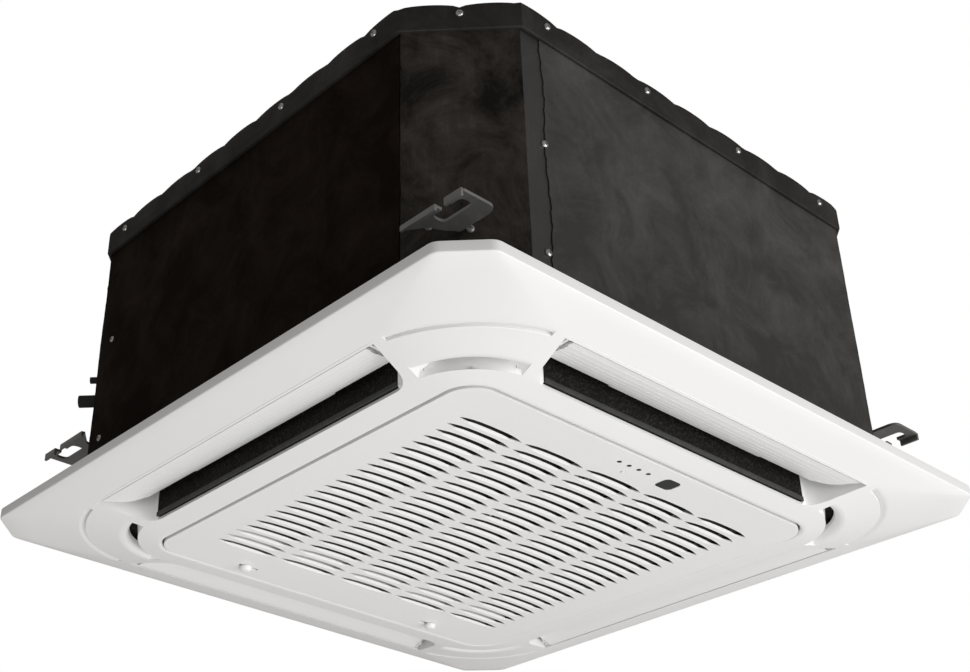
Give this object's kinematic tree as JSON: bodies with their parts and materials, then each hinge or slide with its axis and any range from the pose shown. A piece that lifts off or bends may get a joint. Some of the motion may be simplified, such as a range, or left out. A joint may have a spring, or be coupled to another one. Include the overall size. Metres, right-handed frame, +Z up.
{
  "type": "ceiling cassette air conditioner",
  "caption": "Square compact ceiling cassette indoor unit: insulated body with hanger brackets over a flush panel with four swinging air vanes and a hinged, slotted intake grille.",
  "frame": {"origin": "centre of the ceiling panel on the ceiling plane (the back face of the panel's rim)", "axes": "+Z up into the ceiling void; the display side of the grille is on -Y, its latches on +Y"},
  "size_m": [0.65, 0.65, 0.3252],
  "materials": {
    "white_plastic": "satin moulded ABS",
    "galvanised_steel": "dark coated zinc sheet",
    "steel_shaft": "bright",
    "motor_steel": "satin",
    "black_insulation": "matt foil-faced insulation",
    "black_foam": "bead foam",
    "grey_seal": "foam strip",
    "fin_aluminium": "finned",
    "black_rubber": "matt",
    "dark_plastic": "moulded",
    "filter_mesh": "fine net in a moulded frame",
    "circuit_board": "lacquered board"
  },
  "bodies": {
    "unit": {"casing": "galvanised_steel", "insulation_jacket": "black_insulation", "top_band": "black_insulation", "hanger_bracket_front_left": "galvanised_steel", "hanger_bracket_front_right": "galvanised_steel", "hanger_bracket_back_right": "galvanised_steel", "hanger_bracket_back_left": "galvanised_steel", "wall_foam": "black_foam", "drain_pan": "black_foam", "bellmouth": "white_plastic", "heat_exchanger": "fin_aluminium", "gas_pipe": "black_rubber", "liquid_pipe": "black_rubber", "gas_flare_nut": "steel_shaft", "liquid_flare_nut": "steel_shaft", "fan_motor": "motor_steel", "control_box": "galvanised_steel", "control_box_cover": "galvanised_steel", "terminal_block": "white_plastic", "drain_pump": "dark_plastic", "float_switch": "dark_plastic", "drain_spigot": "dark_plastic", "cable_grommet": "black_rubber", "panel_frame": "white_plastic", "duct_foam": "black_foam", "corner_cover_front_left": "white_plastic", "corner_cover_front_right": "white_plastic", "corner_cover_back_right": "white_plastic", "corner_cover_back_left": "white_plastic", "outlet_seal_front": "grey_seal", "vane_motor_front": "dark_plastic", "vane_bush_front": "dark_plastic", "outlet_seal_right": "grey_seal", "vane_motor_right": "dark_plastic", "vane_bush_right": "dark_plastic", "outlet_seal_back": "grey_seal", "vane_motor_back": "dark_plastic", "vane_bush_back": "dark_plastic", "outlet_seal_left": "grey_seal", "vane_motor_left": "dark_plastic", "vane_bush_left": "dark_plastic", "hinge_pin_left": "steel_shaft", "hinge_pin_right": "steel_shaft"},
    "turbo_fan": {"turbo_fan": "white_plastic"},
    "float_ring": {"float_ring": "white_plastic"},
    "grille": {"intake_grille": "white_plastic", "air_filter": "filter_mesh", "receiver_window": "dark_plastic", "display_board": "circuit_board"},
    "push_button": {"push_button": "white_plastic"},
    "latch_left": {"latch_left": "white_plastic"},
    "latch_right": {"latch_right": "white_plastic"},
    "vane_front": {"vane_front": "white_plastic"},
    "vane_right": {"vane_right": "white_plastic"},
    "vane_back": {"vane_back": "white_plastic"},
    "vane_left": {"vane_left": "white_plastic"}
  },
  "joints": [
    {"name": "vane_swing_front", "type": "hinge", "parent": "unit", "child": "vane_front", "pos_m": [0, -0.281, -0.013], "axis": [1, 0, 0], "range_deg": [-17, 30]},
    {"name": "vane_swing_right", "type": "hinge", "parent": "unit", "child": "vane_right", "pos_m": [0.281, 0, -0.013], "axis": [0, 1, 0], "range_deg": [-17, 30]},
    {"name": "vane_swing_back", "type": "hinge", "parent": "unit", "child": "vane_back", "pos_m": [0, 0.281, -0.013], "axis": [-1, 0, 0], "range_deg": [-17, 30]},
    {"name": "vane_swing_left", "type": "hinge", "parent": "unit", "child": "vane_left", "pos_m": [-0.281, 0, -0.013], "axis": [0, -1, 0], "range_deg": [-17, 30]},
    {"name": "grille_swing", "type": "hinge", "parent": "unit", "child": "grille", "pos_m": [0, -0.185, -0.024], "axis": [-1, 0, 0], "range_deg": [0, 88]},
    {"name": "latch_slide_left", "type": "slide", "parent": "grille", "child": "latch_left", "axis": [1, 0, 0], "range_m": [0, 0.006]},
    {"name": "latch_slide_right", "type": "slide", "parent": "grille", "child": "latch_right", "axis": [-1, 0, 0], "range_m": [0, 0.006]},
    {"name": "button_press", "type": "slide", "parent": "grille", "child": "push_button", "axis": [0, 0, 1], "range_m": [0, 0.001], "stiffness_N_per_m": 300, "springref_m": -0.001},
    {"name": "fan_spin", "type": "hinge", "parent": "unit", "child": "turbo_fan", "pos_m": [0, 0, 0.2], "axis": [0, 0, 1], "continuous": true},
    {"name": "float_rise", "type": "slide", "parent": "unit", "child": "float_ring", "axis": [0, 0, 1], "range_m": [0, 0.028]}
  ],
  "couplings": [
    {"joint": "vane_swing_right", "follows": "vane_swing_front", "ratio": 1},
    {"joint": "vane_swing_back", "follows": "vane_swing_front", "ratio": 1},
    {"joint": "vane_swing_left", "follows": "vane_swing_front", "ratio": 1}
  ]
}
